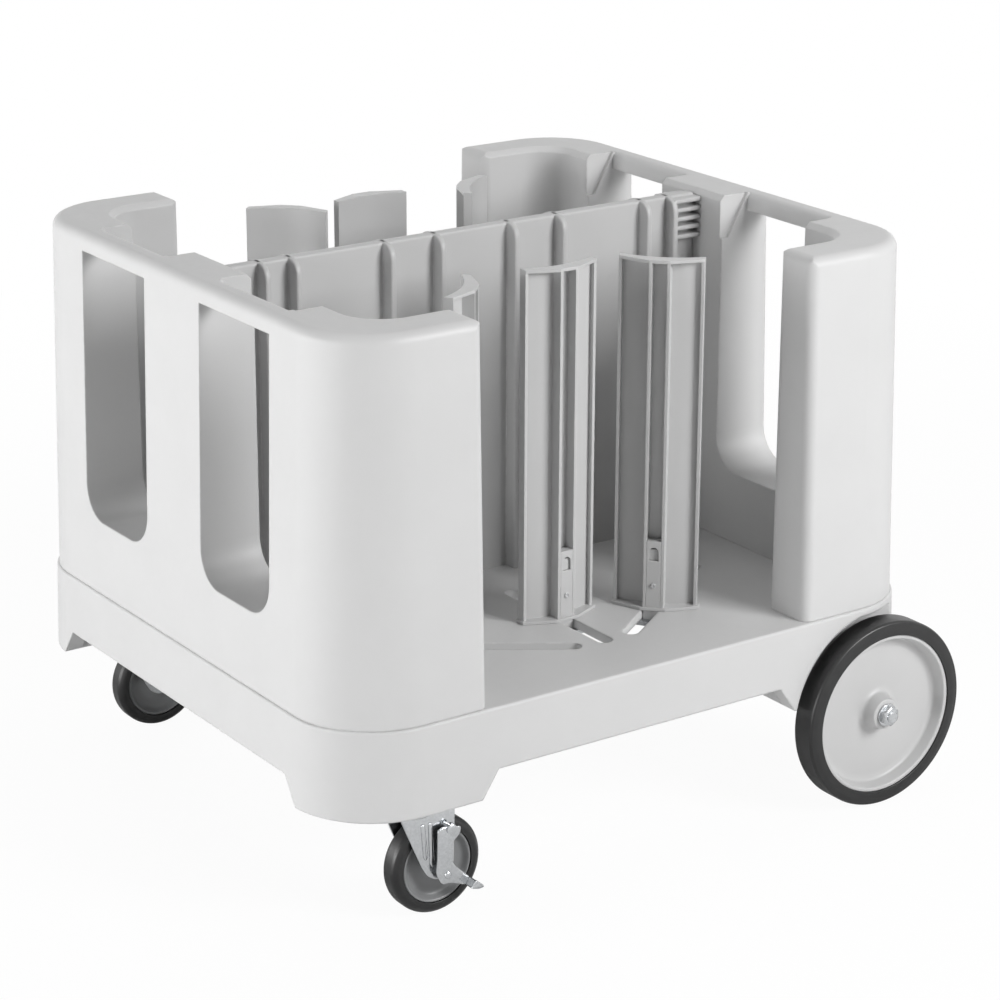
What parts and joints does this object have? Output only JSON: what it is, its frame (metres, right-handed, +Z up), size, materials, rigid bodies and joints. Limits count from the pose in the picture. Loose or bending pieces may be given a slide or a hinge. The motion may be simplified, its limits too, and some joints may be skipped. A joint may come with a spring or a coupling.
{
  "type": "plate dispenser cart",
  "caption": "Wheeled cart with moulded end walls, a finned divider and sliding upright towers that close in on stacks of plates standing on a slotted deck",
  "frame": {"origin": "On the floor, in the middle of the cart's outline at rest, halfway between the outermost points along X and Y.", "axes": "+X along the cart toward the large wheels, +Y across the cart away from the pictured side, +Z up."},
  "size_m": [0.9454, 0.8886, 0.747],
  "materials": {
    "moulded_body": "light grey moulded polyethylene, satin with a fine grain",
    "tower_plastic": "light grey moulded plastic, satin",
    "wheel_plastic": "light grey moulded nylon, satin",
    "caster_hub": "mid grey moulded nylon, satin",
    "tyre_rubber": "dark grey solid rubber, matt",
    "zinc_steel": "bright zinc plated steel"
  },
  "bodies": {
    "cart": {"base_moulding": "moulded_body", "caster_end_wall": "moulded_body", "wheel_end_wall": "moulded_body", "centre_divider": "moulded_body", "wall_screws": "zinc_steel", "rear_axle": "zinc_steel", "bracket_bolts": "zinc_steel", "caster_plate_bolts": "zinc_steel", "near_axle_bracket": "zinc_steel", "near_axle_washer": "zinc_steel", "near_axle_nut": "zinc_steel", "near_caster_plate": "zinc_steel", "far_axle_bracket": "zinc_steel", "far_axle_washer": "zinc_steel", "far_axle_nut": "zinc_steel", "far_caster_plate": "zinc_steel"},
    "near_caster_yoke": {"near_caster_fork": "zinc_steel", "near_caster_axle_bolt": "zinc_steel"},
    "near_caster_roller": {"near_caster_wheel": "caster_hub", "near_caster_tyre": "tyre_rubber"},
    "near_brake": {"near_brake_lever": "zinc_steel"},
    "near_big_wheel": {"near_rear_wheel": "wheel_plastic", "near_rear_tyre": "tyre_rubber"},
    "far_caster_yoke": {"far_caster_fork": "zinc_steel", "far_caster_axle_bolt": "zinc_steel"},
    "far_caster_roller": {"far_caster_wheel": "caster_hub", "far_caster_tyre": "tyre_rubber"},
    "far_brake": {"far_brake_lever": "zinc_steel"},
    "far_big_wheel": {"far_rear_wheel": "wheel_plastic", "far_rear_tyre": "tyre_rubber"},
    "near_left_slider": {"near_left_tower": "tower_plastic", "near_left_latch_cover": "tower_plastic", "near_left_tower_shoe": "zinc_steel"},
    "near_left_lock": {"near_left_lock_slide": "zinc_steel"},
    "near_middle_slider": {"near_middle_tower": "tower_plastic", "near_middle_latch_cover": "tower_plastic", "near_middle_tower_shoe": "zinc_steel"},
    "near_middle_lock": {"near_middle_lock_slide": "zinc_steel"},
    "near_right_slider": {"near_right_tower": "tower_plastic", "near_right_latch_cover": "tower_plastic", "near_right_tower_shoe": "zinc_steel"},
    "near_right_lock": {"near_right_lock_slide": "zinc_steel"},
    "far_left_slider": {"far_left_tower": "tower_plastic", "far_left_latch_cover": "tower_plastic", "far_left_tower_shoe": "zinc_steel"},
    "far_left_lock": {"far_left_lock_slide": "zinc_steel"},
    "far_middle_slider": {"far_middle_tower": "tower_plastic", "far_middle_latch_cover": "tower_plastic", "far_middle_tower_shoe": "zinc_steel"},
    "far_middle_lock": {"far_middle_lock_slide": "zinc_steel"},
    "far_right_slider": {"far_right_tower": "tower_plastic", "far_right_latch_cover": "tower_plastic", "far_right_tower_shoe": "zinc_steel"},
    "far_right_lock": {"far_right_lock_slide": "zinc_steel"}
  },
  "joints": [
    {"name": "near_caster_swivel", "type": "hinge", "parent": "cart", "child": "near_caster_yoke", "pos_m": [-0.34425, -0.35, 0.157], "axis": [0, 0, 1], "continuous": true},
    {"name": "near_caster_spin", "type": "hinge", "parent": "near_caster_yoke", "child": "near_caster_roller", "pos_m": [-0.31225, -0.35, 0.0635], "axis": [0, 1, 0], "continuous": true},
    {"name": "near_brake_press", "type": "hinge", "parent": "near_caster_yoke", "child": "near_brake", "pos_m": [-0.30425, -0.35, 0.117], "axis": [0, 1, 0], "range_deg": [0, 20]},
    {"name": "near_rear_wheel_spin", "type": "hinge", "parent": "cart", "child": "near_big_wheel", "pos_m": [0.34575, -0.411, 0.127], "axis": [0, 1, 0], "continuous": true},
    {"name": "far_caster_swivel", "type": "hinge", "parent": "cart", "child": "far_caster_yoke", "pos_m": [-0.34425, 0.35, 0.157], "axis": [0, 0, 1], "continuous": true},
    {"name": "far_caster_spin", "type": "hinge", "parent": "far_caster_yoke", "child": "far_caster_roller", "pos_m": [-0.31225, 0.35, 0.0635], "axis": [0, 1, 0], "continuous": true},
    {"name": "far_brake_press", "type": "hinge", "parent": "far_caster_yoke", "child": "far_brake", "pos_m": [-0.30425, 0.35, 0.117], "axis": [0, 1, 0], "range_deg": [0, 20]},
    {"name": "far_rear_wheel_spin", "type": "hinge", "parent": "cart", "child": "far_big_wheel", "pos_m": [0.34575, 0.411, 0.127], "axis": [0, 1, 0], "continuous": true},
    {"name": "near_left_tower_slide", "type": "slide", "parent": "cart", "child": "near_left_slider", "axis": [-0.829, 0.5592, 0], "range_m": [-0.117, 0.104]},
    {"name": "near_left_lock_lift", "type": "slide", "parent": "near_left_slider", "child": "near_left_lock", "axis": [0, 0, 1], "range_m": [0, 0.008], "stiffness_N_per_m": 800, "springref_m": -0.02},
    {"name": "near_middle_tower_slide", "type": "slide", "parent": "cart", "child": "near_middle_slider", "axis": [0, -1, 0], "range_m": [-0.089, 0.079]},
    {"name": "near_middle_lock_lift", "type": "slide", "parent": "near_middle_slider", "child": "near_middle_lock", "axis": [0, 0, 1], "range_m": [0, 0.008], "stiffness_N_per_m": 800, "springref_m": -0.02},
    {"name": "near_right_tower_slide", "type": "slide", "parent": "cart", "child": "near_right_slider", "axis": [0.829, 0.5592, 0], "range_m": [-0.076, 0.145]},
    {"name": "near_right_lock_lift", "type": "slide", "parent": "near_right_slider", "child": "near_right_lock", "axis": [0, 0, 1], "range_m": [0, 0.008], "stiffness_N_per_m": 800, "springref_m": -0.02},
    {"name": "far_left_tower_slide", "type": "slide", "parent": "cart", "child": "far_left_slider", "axis": [-0.829, -0.5592, 0], "range_m": [-0.033, 0.141]},
    {"name": "far_left_lock_lift", "type": "slide", "parent": "far_left_slider", "child": "far_left_lock", "axis": [0, 0, 1], "range_m": [0, 0.008], "stiffness_N_per_m": 800, "springref_m": -0.02},
    {"name": "far_middle_tower_slide", "type": "slide", "parent": "cart", "child": "far_middle_slider", "axis": [0, 1, 0], "range_m": [-0.132, 0.036]},
    {"name": "far_middle_lock_lift", "type": "slide", "parent": "far_middle_slider", "child": "far_middle_lock", "axis": [0, 0, 1], "range_m": [0, 0.008], "stiffness_N_per_m": 800, "springref_m": -0.02},
    {"name": "far_right_tower_slide", "type": "slide", "parent": "cart", "child": "far_right_slider", "axis": [0.829, -0.5592, 0], "range_m": [-0.063, 0.111]},
    {"name": "far_right_lock_lift", "type": "slide", "parent": "far_right_slider", "child": "far_right_lock", "axis": [0, 0, 1], "range_m": [0, 0.008], "stiffness_N_per_m": 800, "springref_m": -0.02}
  ]
}
